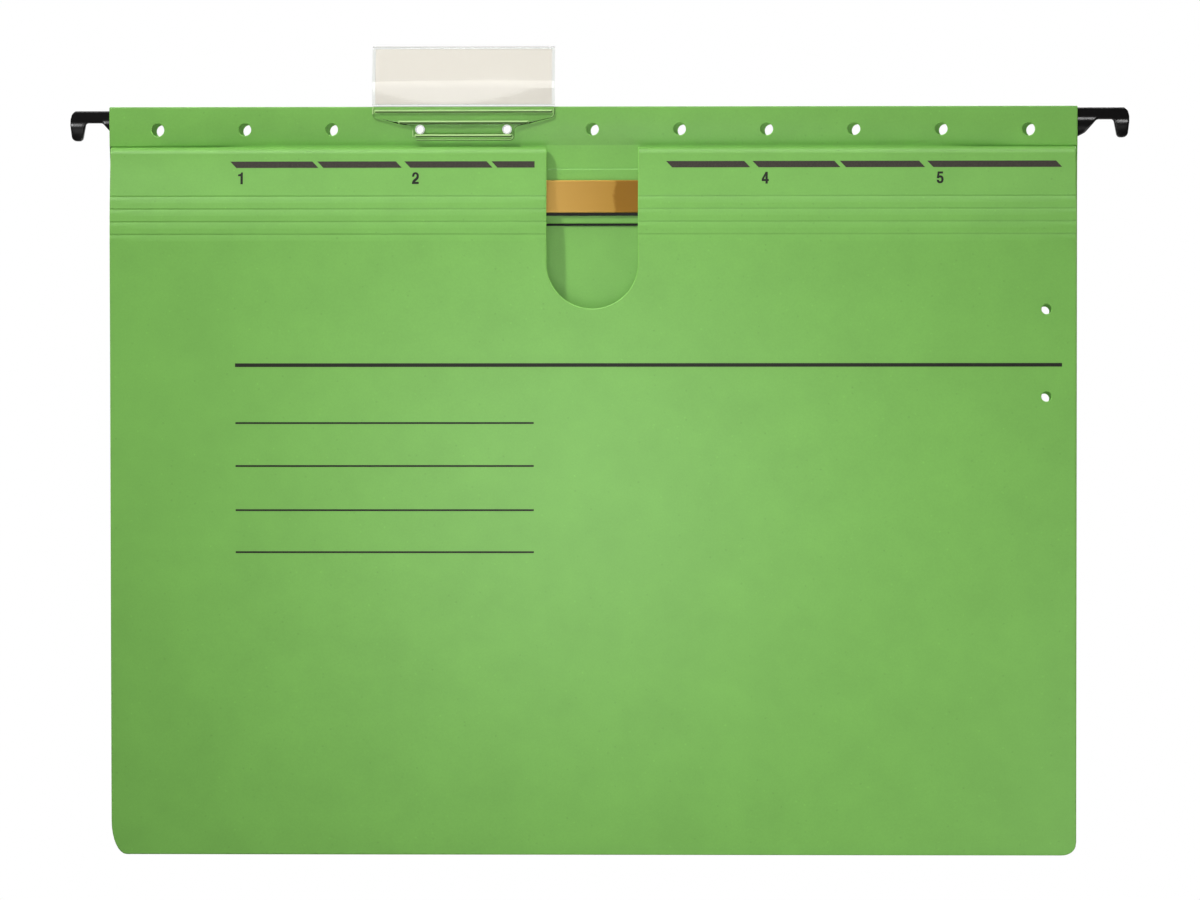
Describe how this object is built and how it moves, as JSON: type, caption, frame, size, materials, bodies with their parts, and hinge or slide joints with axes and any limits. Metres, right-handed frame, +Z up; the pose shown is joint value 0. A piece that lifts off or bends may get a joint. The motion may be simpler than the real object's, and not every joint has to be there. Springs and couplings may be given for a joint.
{
  "type": "hanging file folder",
  "caption": "Hanging file folder of dyed board: hooks on a rail in the hem, a top-hinged cover with thumb cut and creases, a prong fastener inside, and a clear clip-on index tab.",
  "frame": {"origin": "midway between the two hooks, on the plane of their seats, in the middle plane of the rail", "axes": "+X along the rail to the right seen from the front, +Y from the front cover to the rear cover, +Z up"},
  "size_m": [0.348, 0.0121, 0.2657],
  "materials": {
    "green_board": "dyed recycled board, matt",
    "hook_plastic": "black, moulded, glossy",
    "rail_steel": "cold rolled strip",
    "gold_lacquer": "tinplate with gold lacquer",
    "black_steel": "steel strip, black lacquer",
    "black_fibre": "black fibre board",
    "clear_plastic": "clear, moulded",
    "label_paper": "off-white, uncoated"
  },
  "bodies": {
    "rail": {"carrier_rail": "rail_steel", "left_hook": "hook_plastic", "right_hook": "hook_plastic"},
    "back": {"rear_cover": "green_board", "spine_flap": "green_board", "prong_strip": "black_steel", "compressor_bar": "gold_lacquer", "backing_strip": "black_fibre"},
    "scale_strips": {"scale_strip_left": "green_board", "scale_strip_right": "green_board"},
    "upper_crease_strips": {"crease_strip_upper_left": "green_board", "crease_strip_upper_right": "green_board"},
    "middle_crease_strips": {"crease_strip_middle_left": "green_board", "crease_strip_middle_right": "green_board"},
    "lower_crease_strips": {"crease_strip_lower_left": "green_board", "crease_strip_lower_right": "green_board"},
    "cover": {"cover_panel": "green_board"},
    "tab": {"index_tab": "clear_plastic"},
    "label": {"tab_label": "label_paper"}
  },
  "joints": [
    {"name": "end_play", "type": "slide", "parent": "rail", "child": "back", "axis": [1, 0, 0], "range_m": [0, 0.004]},
    {"name": "cover_fold", "type": "hinge", "parent": "back", "child": "scale_strips", "pos_m": [-0.002, -0.00445, -0.0109], "axis": [-1, 0, 0], "range_deg": [0, 110]},
    {"name": "crease_1", "type": "hinge", "parent": "scale_strips", "child": "upper_crease_strips", "pos_m": [-0.002, -0.00685, -0.0246], "axis": [-1, 0, 0], "range_deg": [0, 15]},
    {"name": "crease_2", "type": "hinge", "parent": "upper_crease_strips", "child": "middle_crease_strips", "pos_m": [-0.002, -0.0074, -0.02877], "axis": [-1, 0, 0], "range_deg": [0, 15]},
    {"name": "crease_3", "type": "hinge", "parent": "middle_crease_strips", "child": "lower_crease_strips", "pos_m": [-0.002, -0.00777, -0.03294], "axis": [-1, 0, 0], "range_deg": [0, 15]},
    {"name": "crease_4", "type": "hinge", "parent": "lower_crease_strips", "child": "cover", "pos_m": [-0.002, -0.00795, -0.03711], "axis": [-1, 0, 0], "range_deg": [0, 15]},
    {"name": "tab_unclip", "type": "slide", "parent": "back", "child": "tab", "axis": [0, -1, 0], "range_m": [0, 0.008]},
    {"name": "label_slide", "type": "slide", "parent": "tab", "child": "label", "axis": [1, 0, 0], "range_m": [0, 0.06]}
  ]
}
